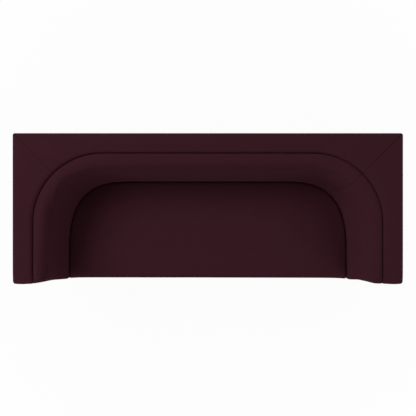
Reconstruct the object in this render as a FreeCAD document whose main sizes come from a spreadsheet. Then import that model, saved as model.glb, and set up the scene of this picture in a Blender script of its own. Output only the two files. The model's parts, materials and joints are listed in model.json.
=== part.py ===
"""A long upholstered tub sofa: a straight case outside, a curved pad inside, and one bench seat.

All sizes are in millimetres. X runs along the sofa, the front faces -Y, Z is up, and the origin lies on the
floor under the middle of the sofa. Left is -X and right is +X, as seen from the front.
"""
import FreeCAD, Part
import math
import os

import Sketcher

os.makedirs("parts", exist_ok=True)

SIZES = {
    # overall
    "overall_width": 2000,
    "overall_depth": 772,
    "overall_height": 700,
    # plinth and glides
    "glide_height": 8,
    "glide_diameter": 32,
    "glide_chamfer": 3,
    "nail_diameter": 3,
    "nail_length": 24,
    "plinth_height": 42,
    "plinth_thickness": 40,
    "plinth_inset": 60,
    "corner_block": 50,
    "dust_cover_thickness": 1.5,
    # timber frame
    "base_rail_width": 110,
    "board_thickness": 18,
    "wall_thickness": 15,
    "post_width": 45,
    "deck_height": 300,
    "deck_ledge": 50,
    "deck_opening_radius": 40,
    "beam_thickness": 40,
    "beam_height": 80,
    "stretcher_drop": 35,
    "leg_width": 40,
    "cleat_width": 25,
    "liner_thickness": 8,
    "rib_thickness": 18,
    "former_lap": 30,
    "screw_diameter": 5,
    "screw_head_diameter": 10,
    "screw_length": 50,
    # webbing
    "webbing_width": 60,
    "webbing_thickness": 2.5,
    "webbing_lap": 40,
    # upholstery
    "panel_padding": 12,
    "border_padding": 25,
    "edge_radius": 8,
    "rim_edge_radius": 5,
    "rim_width": 100,
    "rim_corner_radius": 350,
    "pad_top_width": 46,
    "pad_roll_radius": 58,
    "back_pad_depth": 135,
    "arm_pad_depth": 130,
    "pad_corner_radius": 330,
    "front_roll_radius": 20,
    "seat_height": 445,
    "seat_corner_radius": 305,
    "seat_edge_radius": 26,
    "cloth_thickness": 2,
    "fit_gap": 0.5,
}

BACK_RIBS = 5
ARM_RIBS = 2
STRAPS = 15

doc = FreeCAD.newDocument("tub_sofa")
sheet = doc.addObject("Spreadsheet::Sheet", "sizes")
for row, (alias, value) in enumerate(SIZES.items(), start=1):
    sheet.set(f"A{row}", alias)
    sheet.set(f"B{row}", str(value))
    sheet.setAlias(f"B{row}", alias)
doc.recompute()


class Length:
    """A length taken from the sheet or worked out from others: its expression and its present value."""

    def __init__(self, text, value):
        self.text = text
        self.value = value

    @staticmethod
    def of(other):
        return other if isinstance(other, Length) else Length(f"({other})", other)

    def __add__(self, other):
        other = Length.of(other)
        return Length(f"({self.text} + {other.text})", self.value + other.value)

    def __sub__(self, other):
        other = Length.of(other)
        return Length(f"({self.text} - {other.text})", self.value - other.value)

    def __mul__(self, other):
        other = Length.of(other)
        return Length(f"({self.text} * {other.text})", self.value * other.value)

    def __truediv__(self, other):
        other = Length.of(other)
        return Length(f"({self.text} / {other.text})", self.value / other.value)

    def __neg__(self):
        return self * -1

    def root(self):
        return Length(f"sqrt({self.text})", math.sqrt(self.value))


def size(alias):
    """The length kept in the sheet under a name."""
    return Length(f"sizes.{alias}", float(SIZES[alias]))


nodes = []


def keep(piece, label):
    """Names a finished piece and puts it on the list of pieces to write."""
    piece.Label = label
    nodes.append(piece)
    return piece


def bind(piece, **values):
    """Ties properties of an object to lengths; a double underscore in a name stands for a dot."""
    for name, length in values.items():
        piece.setExpression(name.replace("__", "."), Length.of(length).text)
    return piece


def board(name, x, y, z):
    """A square-edged board between two planes in each direction."""
    blank = doc.addObject("Part::Box", name)
    bind(blank, Length=x[1] - x[0], Width=y[1] - y[0], Height=z[1] - z[0])
    return bind(blank, Placement__Base__x=x[0], Placement__Base__y=y[0], Placement__Base__z=z[0])


def pin(name, x, y, z, diameter, length):
    """A round upright pin whose lower end is at x, y, z."""
    blank = doc.addObject("Part::Cylinder", name)
    bind(blank, Radius=diameter / 2, Height=length)
    return bind(blank, Placement__Base__x=x, Placement__Base__y=y, Placement__Base__z=z)


def taper(name, x, y, z, lower_diameter, upper_diameter, length):
    """A round upright taper whose lower end is at x, y, z."""
    blank = doc.addObject("Part::Cone", name)
    bind(blank, Radius1=lower_diameter / 2, Radius2=upper_diameter / 2, Height=length)
    return bind(blank, Placement__Base__x=x, Placement__Base__y=y, Placement__Base__z=z)


def joined(name, first, second):
    """Two touching pieces made into one."""
    fuse = doc.addObject("Part::Fuse", name)
    fuse.Base = first
    fuse.Tool = second
    return fuse


def less(name, blank, tool):
    """A piece with the space of another taken out of it."""
    cut = doc.addObject("Part::Cut", name)
    cut.Base = blank
    cut.Tool = tool
    return cut


def within(name, blank, region):
    """The part of a piece that lies inside a region."""
    common = doc.addObject("Part::Common", name)
    common.Base = blank
    common.Tool = region
    return common


def group(name, pieces):
    """Alike pieces kept together as separate solids."""
    compound = doc.addObject("Part::Compound", name)
    compound.Links = pieces
    return compound


def screws(name, places, head_height):
    """Countersunk screws driven down, their heads level with head_height."""
    shank = size("screw_diameter")
    head = size("screw_head_diameter")
    head_depth = (head - shank) / 2
    driven = []
    for number, (x, y) in enumerate(places, start=1):
        length = size("screw_length") - head_depth
        stem = pin(f"{name}_stem_{number}", x, y, head_height - size("screw_length"), shank, length)
        cap = taper(f"{name}_head_{number}", x, y, head_height - head_depth, shank, head, head_depth)
        driven.append(joined(f"{name}_{number}", stem, cap))
    return group(name, driven)


def sketch_in(body, name, role, offset=None):
    """A sketch on one of the body's own origin planes, raised along the plane's normal by offset."""
    sketch = body.newObject("Sketcher::SketchObject", name)
    plane = next(plane for plane in body.Origin.OriginFeatures if plane.Role == role)
    sketch.AttachmentSupport = [(plane, "")]
    sketch.MapMode = "FlatFace"
    if offset is not None:
        bind(sketch, AttachmentOffset__Base__z=offset)
    return sketch


def place_point(sketch, element, end, x, y):
    """Ties one point of a sketch to two lengths measured from the origin."""
    for kind, length in (("DistanceX", x), ("DistanceY", y)):
        tie = Sketcher.Constraint(kind, -1, 1, element, end, length.value)
        number = sketch.addConstraint(tie)
        name = f"point_{number}"
        sketch.renameConstraint(number, name)
        sketch.setExpression(f"Constraints.{name}", length.text)


def rounding(before, corner, after, radius):
    """The tangent arc that rounds a corner: its two ends, the arc, and whether it turns to the left."""
    back = (before - corner).normalize()
    ahead = (after - corner).normalize()
    half_angle = back.getAngle(ahead) / 2
    start = corner + back * (radius / math.tan(half_angle))
    finish = corner + ahead * (radius / math.tan(half_angle))
    centre = corner + (back + ahead).normalize() * (radius / math.sin(half_angle))
    turns_left = (back * -1).cross(ahead).z > 0
    first, last = (start, finish) if turns_left else (finish, start)
    angles = [math.atan2(end.y - centre.y, end.x - centre.x) for end in (first, last)]
    circle = Part.Circle(centre, FreeCAD.Vector(0, 0, 1), radius)
    return start, finish, Part.ArcOfCircle(circle, *angles), turns_left


def outline(sketch, corners):
    """A closed outline through corners, each (x, y) or (x, y, radius), with every size tied to the sheet."""
    count = len(corners)
    points = [FreeCAD.Vector(corner[0].value, corner[1].value, 0) for corner in corners]
    starts = list(points)
    finishes = list(points)
    arcs = {}
    for index, corner in enumerate(corners):
        if len(corner) == 3:
            after = points[(index + 1) % count]
            found = rounding(points[index - 1], points[index], after, corner[2].value)
            starts[index], finishes[index] = found[0], found[1]
            arcs[index] = found[2:]
    lines = []
    for index in range(count):
        line = Part.LineSegment(finishes[index], starts[(index + 1) % count])
        lines.append(sketch.addGeometry(line, False))
    for index, corner in enumerate(corners):
        before, after = lines[index - 1], lines[index]
        if index not in arcs:
            sketch.addConstraint(Sketcher.Constraint("Coincident", before, 2, after, 1))
            place_point(sketch, after, 1, corner[0], corner[1])
            continue
        arc, turns_left = arcs[index]
        bend = sketch.addGeometry(arc, False)
        mark = sketch.addGeometry(Part.Point(points[index]), True)
        place_point(sketch, mark, 1, corner[0], corner[1])
        sketch.addConstraint(Sketcher.Constraint("PointOnObject", mark, 1, before))
        sketch.addConstraint(Sketcher.Constraint("PointOnObject", mark, 1, after))
        first, last = (1, 2) if turns_left else (2, 1)
        sketch.addConstraint(Sketcher.Constraint("Tangent", before, 2, bend, first))
        sketch.addConstraint(Sketcher.Constraint("Tangent", after, 1, bend, last))
        number = sketch.addConstraint(Sketcher.Constraint("Radius", bend, corner[2].value))
        sketch.renameConstraint(number, f"radius_{number}")
        sketch.setExpression(f"Constraints.radius_{number}", corner[2].text)


def pad(body, name, outlines, low, high):
    """An upright prism on the body, from one level to another."""
    sketch = sketch_in(body, f"{name}_sketch", "XY_Plane", low)
    for corners in outlines:
        outline(sketch, corners)
    prism = body.newObject("PartDesign::Pad", name)
    prism.Profile = sketch
    return bind(prism, Length=high - low)


def pocket(body, name, corners, low, high):
    """An upright hole cut in the body, from one level up to another."""
    sketch = sketch_in(body, f"{name}_sketch", "XY_Plane", high)
    outline(sketch, corners)
    hole = body.newObject("PartDesign::Pocket", name)
    hole.Profile = sketch
    return bind(hole, Length=high - low)


def rounded(body, name, radius, test, whole=True):
    """Rounds each edge of the body that passes a test on its place: ends and middle, or middle only."""
    doc.recompute()
    base = body.Tip
    chosen = []
    for number, edge in enumerate(base.Shape.Edges, start=1):
        places = [edge.valueAt((edge.FirstParameter + edge.LastParameter) / 2)]
        if whole:
            places += [vertex.Point for vertex in edge.Vertexes]
        if all(test(place) for place in places):
            chosen.append(f"Edge{number}")
    fillet = body.newObject("PartDesign::Fillet", name)
    fillet.Base = (base, chosen)
    return bind(fillet, Radius=radius)


def near(value, length):
    return abs(value - length.value) < 0.01


def on_side(pair, side):
    """A pair of planes as it stands for the right side, or turned over for the left."""
    return pair if side > 0 else (-pair[1], -pair[0])


SIDES = (("left", -1), ("right", 1))

# Planes shared by several pieces
half_width = size("overall_width") / 2
half_depth = size("overall_depth") / 2
top = size("overall_height")
cloth = size("cloth_thickness")
gap = size("fit_gap")
sheet_board = size("board_thickness")
body_bottom = size("glide_height") + size("plinth_height")
frame_floor = body_bottom + sheet_board
deck_top = size("deck_height")
deck_underside = deck_top - sheet_board
rim_board_top = top - size("border_padding")
rim_board_bottom = rim_board_top - sheet_board
wall_outer_x = half_width - size("panel_padding")
wall_inner_x = wall_outer_x - size("wall_thickness")
wall_outer_y = half_depth - size("panel_padding")
wall_inner_y = wall_outer_y - size("wall_thickness")
front_y = -half_depth
panel_front_y = front_y + size("border_padding")
panel_back_y = panel_front_y + sheet_board

# The tub: the line of the sewn groove in plan, and the line where pad and seat meet
rim_radius = size("rim_corner_radius")
tub_x = half_width - size("rim_width")
tub_y = half_depth - size("rim_width")
seat_x = tub_x - size("arm_pad_depth")
seat_y = tub_y - size("back_pad_depth")
seat_level = size("seat_height")
seat_bottom = deck_top + size("webbing_thickness")
opening_x = seat_x - size("deck_ledge")
opening_front = panel_back_y + size("deck_ledge")
opening_back = seat_y - size("deck_ledge")
seat_bend = size("seat_corner_radius")
opening_bend = seat_bend - size("deck_ledge")


def tub_outline(x, y, radius, front):
    """The plan of the tub: open to the front, with two rounded back corners."""
    return [(-x, front), (x, front), (x, y, radius), (-x, y, radius)]


def band_outline(inner, outer_x, outer_back, front, outer_radius=None):
    """A band in plan round the tub; inner is (x, y, radius) of its inside line."""
    x, y, radius = inner
    corner = () if outer_radius is None else (outer_radius,)
    return [
        (-outer_x, front),
        (-x, front),
        (-x, y, radius),
        (x, y, radius),
        (x, front),
        (outer_x, front),
        (outer_x, outer_back, *corner),
        (-outer_x, outer_back, *corner),
    ]


# Plinth: a recessed black frame on nailed glides
plinth_x = half_width - size("plinth_inset")
plinth_y = half_depth - size("plinth_inset")
plinth = size("plinth_thickness")
plinth_z = (size("glide_height"), body_bottom)
glide_y = plinth_y - plinth / 2
glide_places = []
for x in (-(plinth_x - plinth / 2), Length.of(0.0), plinth_x - plinth / 2):
    glide_places += [(x, -glide_y), (x, glide_y)]

feet = []
nail_pieces = []
chamfer = size("glide_chamfer")
foot_diameter = size("glide_diameter")
nail_start = size("glide_height") / 2
for number, (x, y) in enumerate(glide_places, start=1):
    nail_pieces.append(pin(f"nail_{number}", x, y, nail_start, size("nail_diameter"), size("nail_length")))
    sole = taper(f"sole_{number}", x, y, Length.of(0.0), foot_diameter - chamfer * 2, foot_diameter, chamfer)
    disc = pin(f"disc_{number}", x, y, chamfer, foot_diameter, size("glide_height") - chamfer)
    feet.append(joined(f"foot_{number}", sole, disc))
nails = keep(group("nails", nail_pieces), "glide_nails")
keep(less("bored_feet", group("feet", feet), nails), "glides")

plinth_screw_places = [(plinth_x - plinth / 2, Length.of(0.0)), (-(plinth_x - plinth / 2), Length.of(0.0))]
for y in (-glide_y, glide_y):
    plinth_screw_places += [(-plinth_x / 2, y), (plinth_x / 2, y)]
plinth_screws = keep(screws("plinth_screw", plinth_screw_places, frame_floor), "plinth_screws")
plinth_fixings = group("plinth_fixings", [nails, plinth_screws])

long_rail_x = (-plinth_x, plinth_x)
short_rail_y = (-(plinth_y - plinth), plinth_y - plinth)
for name, side in (("front", -1), ("back", 1)):
    rail = board(f"{name}_rail", long_rail_x, on_side((plinth_y - plinth, plinth_y), side), plinth_z)
    keep(less(f"bored_{name}_rail", rail, plinth_fixings), f"plinth_{name}")
for name, side in SIDES:
    rail = board(f"{name}_rail", on_side((plinth_x - plinth, plinth_x), side), short_rail_y, plinth_z)
    keep(less(f"bored_{name}_rail", rail, plinth_screws), f"plinth_{name}")
keep(board("middle_rail", (-plinth / 2, plinth / 2), short_rail_y, plinth_z), "plinth_middle")

blocks = []
block = size("corner_block")
block_z = (size("glide_height"), body_bottom - size("dust_cover_thickness"))
for name, side in SIDES:
    block_x = on_side((plinth_x - plinth - block, plinth_x - plinth), side)
    blocks.append(board(f"{name}_front_block", block_x, (short_rail_y[0], short_rail_y[0] + block), block_z))
    blocks.append(board(f"{name}_back_block", block_x, (short_rail_y[1] - block, short_rail_y[1]), block_z))
keep(group("blocks", blocks), "plinth_corner_blocks")

# Dust cover: thin cloth under the base rails, one piece on each side of the middle rail
cover_z = (body_bottom - size("dust_cover_thickness"), body_bottom)
cover_pieces = []
for name, side in SIDES:
    cover_x = on_side((plinth / 2, plinth_x - plinth), side)
    cover_pieces.append(board(f"{name}_dust_cover", cover_x, short_rail_y, cover_z))
keep(group("dust_covers", cover_pieces), "dust_cover")

# Base rails: flat boards that carry the walls out past the plinth
rail_width = size("base_rail_width")
base_z = (body_bottom, frame_floor)
base_x = (-wall_outer_x, wall_outer_x)
base_front = (panel_front_y, panel_front_y + rail_width)
base_back = (wall_outer_y - rail_width, wall_outer_y)
base_between = (base_front[1], base_back[0])
for name, rail_y in (("front", base_front), ("back", base_back)):
    rail = board(f"base_{name}", base_x, rail_y, base_z)
    keep(less(f"bored_base_{name}", rail, plinth_screws), f"base_{name}_rail")
for name, side in SIDES:
    rail_x = on_side((wall_outer_x - rail_width, wall_outer_x), side)
    rail = board(f"base_{name}", rail_x, base_between, base_z)
    keep(less(f"bored_base_{name}", rail, plinth_screws), f"base_{name}_rail")
keep(board("base_middle", (-rail_width / 2, rail_width / 2), base_between, base_z), "base_middle_rail")

# Walls, front panel and corner posts
wall_z = (frame_floor, rim_board_bottom)
keep(board("wall_behind", (-wall_outer_x, wall_outer_x), (wall_inner_y, wall_outer_y), wall_z), "back_wall")
post = size("post_width")
for name, side in SIDES:
    wall_x = on_side((wall_inner_x, wall_outer_x), side)
    keep(board(f"wall_{name}", wall_x, (panel_back_y, wall_inner_y), wall_z), f"{name}_wall")
    post_x = on_side((wall_inner_x - post, wall_inner_x), side)
    keep(board(f"{name}_post", post_x, (wall_inner_y - post, wall_inner_y), wall_z), f"{name}_corner_post")

# Front panel: one board that forms both arm fronts and the low middle
front_panel = doc.addObject("PartDesign::Body", "front_panel_body")
panel_sketch = sketch_in(front_panel, "front_panel_sketch", "XZ_Plane", -panel_back_y)
outline(panel_sketch, [
    (-wall_outer_x, frame_floor),
    (wall_outer_x, frame_floor),
    (wall_outer_x, rim_board_bottom),
    (tub_x, rim_board_bottom),
    (tub_x, deck_top),
    (-tub_x, deck_top),
    (-tub_x, rim_board_bottom),
    (-wall_outer_x, rim_board_bottom),
])
panel_pad = front_panel.newObject("PartDesign::Pad", "front_panel_pad")
panel_pad.Profile = panel_sketch
bind(panel_pad, Length=sheet_board)
keep(front_panel, "front_panel")

# Deck: a board with an opening for the webbing, on beams and legs
beam = size("beam_thickness")
beam_z = (deck_underside - size("beam_height"), deck_underside)
front_beam_y = (panel_back_y, panel_back_y + beam)
rear_beam_y = (opening_back, opening_back + beam)
deck_screw_places = []
for y in (front_beam_y[0] + beam / 2, rear_beam_y[0] + beam / 2):
    for share in (-0.8, 0.0, 0.8):
        deck_screw_places.append((opening_x * share, y))
deck_screws = keep(screws("deck_screw", deck_screw_places, deck_top), "deck_screws")

deck = doc.addObject("PartDesign::Body", "deck_body")
pad(deck, "deck_pad", [[
    (-wall_inner_x, panel_back_y),
    (wall_inner_x, panel_back_y),
    (wall_inner_x, wall_inner_y - post),
    (wall_inner_x - post, wall_inner_y - post),
    (wall_inner_x - post, wall_inner_y),
    (-(wall_inner_x - post), wall_inner_y),
    (-(wall_inner_x - post), wall_inner_y - post),
    (-wall_inner_x, wall_inner_y - post),
]], deck_underside, deck_top)
opening_radius = size("deck_opening_radius")
pocket(deck, "deck_opening", [
    (-opening_x, opening_front, opening_radius),
    (opening_x, opening_front, opening_radius),
    (opening_x, opening_back, opening_bend),
    (-opening_x, opening_back, opening_bend),
], deck_underside, deck_top)
keep(less("bored_deck", deck, deck_screws), "deck_board")

beam_x = (-wall_inner_x, wall_inner_x)
for name, beam_y in (("front", front_beam_y), ("rear", rear_beam_y)):
    blank = board(f"{name}_beam_blank", beam_x, beam_y, beam_z)
    keep(less(f"bored_{name}_beam", blank, deck_screws), f"{name}_beam")
between_beams = (front_beam_y[1], rear_beam_y[0])
for name, side in SIDES:
    side_beam_x = on_side((opening_x, opening_x + beam), side)
    keep(board(f"{name}_beam_blank", side_beam_x, between_beams, beam_z), f"{name}_beam")
stretcher_z = (beam_z[0], deck_underside - size("stretcher_drop"))
keep(board("stretcher", (-beam / 2, beam / 2), between_beams, stretcher_z), "centre_stretcher")

legs = []
leg = size("leg_width")
for row, start in (("front", front_beam_y[0]), ("rear", rear_beam_y[0])):
    for column, middle in (("left", -opening_x), ("middle", Length.of(0.0)), ("right", opening_x)):
        leg_x = (middle - leg / 2, middle + leg / 2)
        legs.append(board(f"{row}_{column}_leg", leg_x, (start, start + leg), (frame_floor, beam_z[0])))
keep(group("legs", legs), "deck_legs")

cleat = size("cleat_width")
cleat_z = (deck_underside - cleat, deck_underside)
cleat_x = (-(wall_inner_x - post), wall_inner_x - post)
keep(board("cleat_behind", cleat_x, (wall_inner_y - cleat, wall_inner_y), cleat_z), "back_cleat")
for name, side in SIDES:
    side_cleat_x = on_side((wall_inner_x - cleat, wall_inner_x), side)
    side_cleat_y = (rear_beam_y[1], wall_inner_y - post)
    keep(board(f"cleat_{name}", side_cleat_x, side_cleat_y, cleat_z), f"{name}_cleat")

# Tub frame above the deck: bent liner, ribs behind it, corner formers and the rim board
liner = size("liner_thickness")
liner_x = tub_x + liner
liner_y = tub_y + liner
liner_radius = rim_radius + liner
inner_liner = doc.addObject("PartDesign::Body", "liner_body")
pad(inner_liner, "liner_pad", [[
    (-liner_x, panel_back_y),
    (-tub_x, panel_back_y),
    (-tub_x, tub_y, rim_radius),
    (tub_x, tub_y, rim_radius),
    (tub_x, panel_back_y),
    (liner_x, panel_back_y),
    (liner_x, liner_y, liner_radius),
    (-liner_x, liner_y, liner_radius),
]], deck_top, rim_board_bottom)
keep(inner_liner, "inner_liner")

rib = size("rib_thickness")
rib_z = (deck_top, rim_board_bottom)
lap = size("former_lap")
straight_x = tub_x - rim_radius - lap - rib
former_end_y = tub_y - rim_radius - lap
back_rib_middles = [straight_x * (2 * number / (BACK_RIBS - 1) - 1) for number in range(BACK_RIBS)]
arm_rib_pitch = (former_end_y - panel_back_y) / ARM_RIBS
arm_rib_middles = [panel_back_y + arm_rib_pitch * (number + 0.5) for number in range(ARM_RIBS)]

# One screw goes through the rim board into every other back rib and into the last rib of each arm
rim_screw_places = [(middle, (liner_y + wall_inner_y) / 2) for middle in back_rib_middles[::2]]
for name, side in SIDES:
    rim_screw_places.append(((liner_x + wall_inner_x) / 2 * side, arm_rib_middles[-1]))
rim_screws = keep(screws("rim_screw", rim_screw_places, rim_board_top), "rim_screws")

back_ribs = []
for number, middle in enumerate(back_rib_middles, start=1):
    rib_x = (middle - rib / 2, middle + rib / 2)
    back_ribs.append(board(f"back_rib_{number}", rib_x, (liner_y, wall_inner_y), rib_z))
keep(less("bored_back_ribs", group("ribs_behind", back_ribs), rim_screws), "back_ribs")
for name, side in SIDES:
    arm_ribs = []
    rib_x = on_side((liner_x, wall_inner_x), side)
    for number, middle in enumerate(arm_rib_middles, start=1):
        rib_y = (middle - rib / 2, middle + rib / 2)
        arm_ribs.append(board(f"{name}_rib_{number}", rib_x, rib_y, rib_z))
    keep(less(f"bored_{name}_ribs", group(f"ribs_{name}", arm_ribs), rim_screws), f"{name}_arm_ribs")

    # A flat former half way up holds the bend of the liner in the corner
    former_middle = (deck_top + rim_board_bottom) / 2
    former_end_x = tub_x - rim_radius - lap
    former = doc.addObject("PartDesign::Body", f"{name}_former_body")
    pad(former, f"{name}_former_pad", [[
        (wall_inner_x * side, former_end_y),
        (wall_inner_x * side, wall_inner_y - post),
        ((wall_inner_x - post) * side, wall_inner_y - post),
        ((wall_inner_x - post) * side, wall_inner_y),
        (former_end_x * side, wall_inner_y),
        (former_end_x * side, liner_y),
        (liner_x * side, liner_y, liner_radius),
        (liner_x * side, former_end_y),
    ]], former_middle - sheet_board / 2, former_middle + sheet_board / 2)
    keep(former, f"{name}_corner_former")

rim_board = doc.addObject("PartDesign::Body", "rim_board_body")
rim_line = (tub_x, tub_y, rim_radius)
rim_plan = band_outline(rim_line, wall_outer_x, wall_outer_y, panel_front_y)
pad(rim_board, "rim_board_pad", [rim_plan], rim_board_bottom, rim_board_top)
keep(less("bored_rim_board", rim_board, rim_screws), "rim_board")

# Mitre regions: the upholstery is parted at 45 degrees from the two outer back corners
mitre_end = half_width - half_depth * 2
mitre_regions = {
    "left": [(-half_width, half_depth), (-half_width, front_y), (-mitre_end, front_y)],
    "right": [(half_width, half_depth), (mitre_end, front_y), (half_width, front_y)],
    "back": [
        (-half_width, half_depth),
        (-mitre_end, front_y),
        (mitre_end, front_y),
        (half_width, half_depth),
    ],
}
regions = {}
for name, corners in mitre_regions.items():
    regions[name] = doc.addObject("PartDesign::Body", f"{name}_region")
    pad(regions[name], f"{name}_region_pad", [corners], Length.of(0.0), top * 1.5)

# Border: the padded rim, turned down over both arm fronts
border = doc.addObject("PartDesign::Body", "border_body")
edge_radius = size("edge_radius")
rim_cover = band_outline(rim_line, half_width, half_depth, front_y, edge_radius)
pad(border, "border_top", [rim_cover], rim_board_top, top)
arm_fronts = []
for name, side in SIDES:
    x = on_side((tub_x, half_width), side)
    arm_fronts.append([(x[0], front_y), (x[1], front_y), (x[1], panel_front_y), (x[0], panel_front_y)])
pad(border, "border_fronts", arm_fronts, body_bottom, rim_board_top)
front_roll = size("front_roll_radius")
rounded(border, "border_front_roll", front_roll, lambda p: near(p.y, front_y) and near(p.z, top))


rim_edge = size("rim_edge_radius")
rolled_back = front_y + front_roll


def on_border_edge(place):
    """Whether a place is on the outer or groove edge of the rim, or on an outer edge down the front."""
    outside = near(abs(place.x), half_width) or near(place.y, half_depth)
    groove = place.x ** 2 < tub_x.value ** 2 + 1 and place.y < tub_y.value + 0.01
    turned_down = place.y < rolled_back.value - 0.01 and place.z < top.value - 0.01
    return (outside and near(place.z, top)) or (groove and near(place.z, top)) or (outside and turned_down)


rounded(border, "border_edges", rim_edge, on_border_edge, whole=False)
for name, region in regions.items():
    keep(within(f"{name}_border_piece", border, region), f"{name}_border")

# Outside panels and the apron below the seat
panel_z = (body_bottom, rim_board_top)
back_panel = doc.addObject("PartDesign::Body", "back_panel_body")
pad(back_panel, "back_panel_pad", [[
    (-half_width, wall_outer_y),
    (half_width, wall_outer_y),
    (half_width, half_depth, edge_radius),
    (-half_width, half_depth, edge_radius),
]], *panel_z)
keep(back_panel, "back_outside_panel")
for name, side in SIDES:
    panel_x = on_side((wall_outer_x, half_width), side)
    panel = board(f"{name}_panel", panel_x, (panel_front_y, wall_outer_y), panel_z)
    keep(panel, f"{name}_outside_panel")
apron = doc.addObject("PartDesign::Body", "apron_body")
apron_x = tub_x - gap
pad(apron, "apron_pad", [[
    (-apron_x, front_y),
    (apron_x, front_y),
    (apron_x, panel_front_y),
    (-apron_x, panel_front_y),
]], body_bottom, deck_top)
rounded(apron, "apron_edge", edge_radius, lambda p: near(p.y, front_y) and near(p.z, deck_top))
keep(apron, "front_apron")


def tub_hollow(name, skin):
    """The space inside the curved pad, made larger by skin: three leaning planes with rounded corners.

    The arm planes lean out by one slope and the back plane by another. The rounding follows their leaning
    meeting line, so that in plan the pad is deeper in its two back corners than along the arms.
    """
    body = doc.addObject("PartDesign::Body", name)
    overrun = size("rim_width") / 2
    low = deck_top - overrun
    high = top + overrun
    behind = tub_y + size("rim_width")
    rim_x = tub_x - size("pad_top_width")
    rim_y = tub_y - size("pad_top_width")

    def leaning(at_seat, at_rim, level):
        share = (level - seat_level) / (top - seat_level)
        return at_seat + skin + (at_rim - at_seat) * share

    across = sketch_in(body, f"{name}_across", "XZ_Plane", -behind)
    outline(across, [
        (-leaning(seat_x, rim_x, low), low),
        (leaning(seat_x, rim_x, low), low),
        (leaning(seat_x, rim_x, high), high),
        (-leaning(seat_x, rim_x, high), high),
    ])
    trough = body.newObject("PartDesign::Pad", f"{name}_trough")
    trough.Profile = across
    bind(trough, Length=behind + size("overall_depth"))

    along = sketch_in(body, f"{name}_along", "YZ_Plane", -half_width)
    outline(along, [
        (leaning(seat_y, rim_y, low), low),
        (behind + overrun, low),
        (behind + overrun, high),
        (leaning(seat_y, rim_y, high), high),
    ])
    back_cut = body.newObject("PartDesign::Pocket", f"{name}_back_cut")
    back_cut.Profile = along
    back_cut.Reversed = True
    bind(back_cut, Length=size("overall_width"))
    rounded(body, f"{name}_corners", size("pad_corner_radius") + skin,
            lambda p: low.value + 1 < p.z < high.value - 1 and p.y > front_y.value, whole=False)
    return body


def tub_pad(name, skin):
    """The whole curved pad, its visible faces set back by skin, with rolled top and front edges."""
    body = doc.addObject("PartDesign::Body", name)
    level = top - skin
    front = front_y + skin
    pad_x = tub_x - gap
    pad_y = tub_y - gap
    pad(body, f"{name}_block", [tub_outline(pad_x, pad_y, rim_radius - gap, front)], deck_top, level)
    hollow = tub_hollow(f"{name}_hollow", skin)
    carve = body.newObject("PartDesign::Boolean", f"{name}_carve")
    carve.Type = "Cut"
    carve.setObjects([hollow])

    inner_x = pad_x - size("pad_top_width") / 2
    inner_y = pad_y - size("pad_top_width") / 2
    rounded(body, f"{name}_roll", size("pad_roll_radius") - skin,
            lambda p: near(p.z, level) and abs(p.x) < inner_x.value and p.y < inner_y.value)
    rounded(body, f"{name}_front_roll", front_roll - skin,
            lambda p: near(p.y, front) and abs(p.x) < pad_x.value - 0.01 and p.z > deck_top.value + 0.01,
            whole=False)
    seat_plan = tub_outline(seat_x + skin, seat_y + skin, seat_bend + skin, front_y - size("rim_width"))
    pocket(body, f"{name}_seat_space", seat_plan, deck_top, seat_level)
    return body


outer_pad = tub_pad("outer_pad", Length.of(0.0))
foam_pad = tub_pad("foam_pad", cloth)
pad_skin = less("pad_skin", outer_pad, foam_pad)
for name, region in regions.items():
    keep(within(f"{name}_foam_piece", foam_pad, region), f"{name}_pad_foam")
    keep(within(f"{name}_cover_piece", pad_skin, region), f"{name}_pad_cover")


def seat_block(name, skin):
    """The bench seat, its sides and top set back by skin, with every top edge rolled."""
    body = doc.addObject("PartDesign::Body", name)
    x = seat_x - gap - skin
    y = seat_y - gap - skin
    front = front_y + skin
    roll = size("seat_edge_radius") - skin
    back_bend = seat_bend - gap - skin
    front_bend = size("seat_edge_radius") * 1.25 - skin
    plan = [(-x, front, front_bend), (x, front, front_bend), (x, y, back_bend), (-x, y, back_bend)]
    level = seat_level - skin
    pad(body, f"{name}_block", [plan], seat_bottom, level)
    rounded(body, f"{name}_roll", roll, lambda p: near(p.z, level))
    return body


outer_seat = seat_block("outer_seat", Length.of(0.0))
foam_seat = seat_block("foam_seat", cloth)
keep(foam_seat, "seat_foam")
keep(less("seat_skin", outer_seat, foam_seat), "seat_cover")

# Webbing: straps stretched from front to back over the deck opening
strap = size("webbing_width")
strap_lap = size("webbing_lap")
strap_pitch = opening_x * 2 / STRAPS
bend_x = opening_x - opening_bend
bend_y = opening_back - opening_bend
straps = []
for number in range(STRAPS):
    middle = strap_pitch * (number - (STRAPS - 1) / 2)
    strap_x = (middle - strap / 2, middle + strap / 2)
    outer_edge = strap_x[1] if middle.value >= 0 else -strap_x[0]
    strap_end = opening_back
    # Where the corner of the opening bends, the strap ends on the bend
    if outer_edge.value > bend_x.value:
        past_bend = outer_edge - bend_x
        strap_end = bend_y + (opening_bend * opening_bend - past_bend * past_bend).root()
    strap_y = (opening_front - strap_lap, strap_end + strap_lap)
    straps.append(board(f"strap_{number + 1}", strap_x, strap_y, (deck_top, seat_bottom)))
keep(group("straps", straps), "seat_webbing")

doc.recompute()
faulty = [piece.Name for piece in doc.Objects if "Invalid" in piece.State or "Error" in piece.State]
faulty += [piece.Label for piece in nodes if piece.Shape.isNull() or not piece.Shape.isValid()]
if faulty:
    raise SystemExit("not built: " + ", ".join(faulty))
for piece in nodes:
    piece.Shape.exportStep(f"parts/{piece.Label}.step")
print(len(nodes), "pieces written")
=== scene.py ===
"""A long wine-red tub sofa seen from straight above: mitred rim, rolled pad round three sides, bench seat."""

import json
import math

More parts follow.
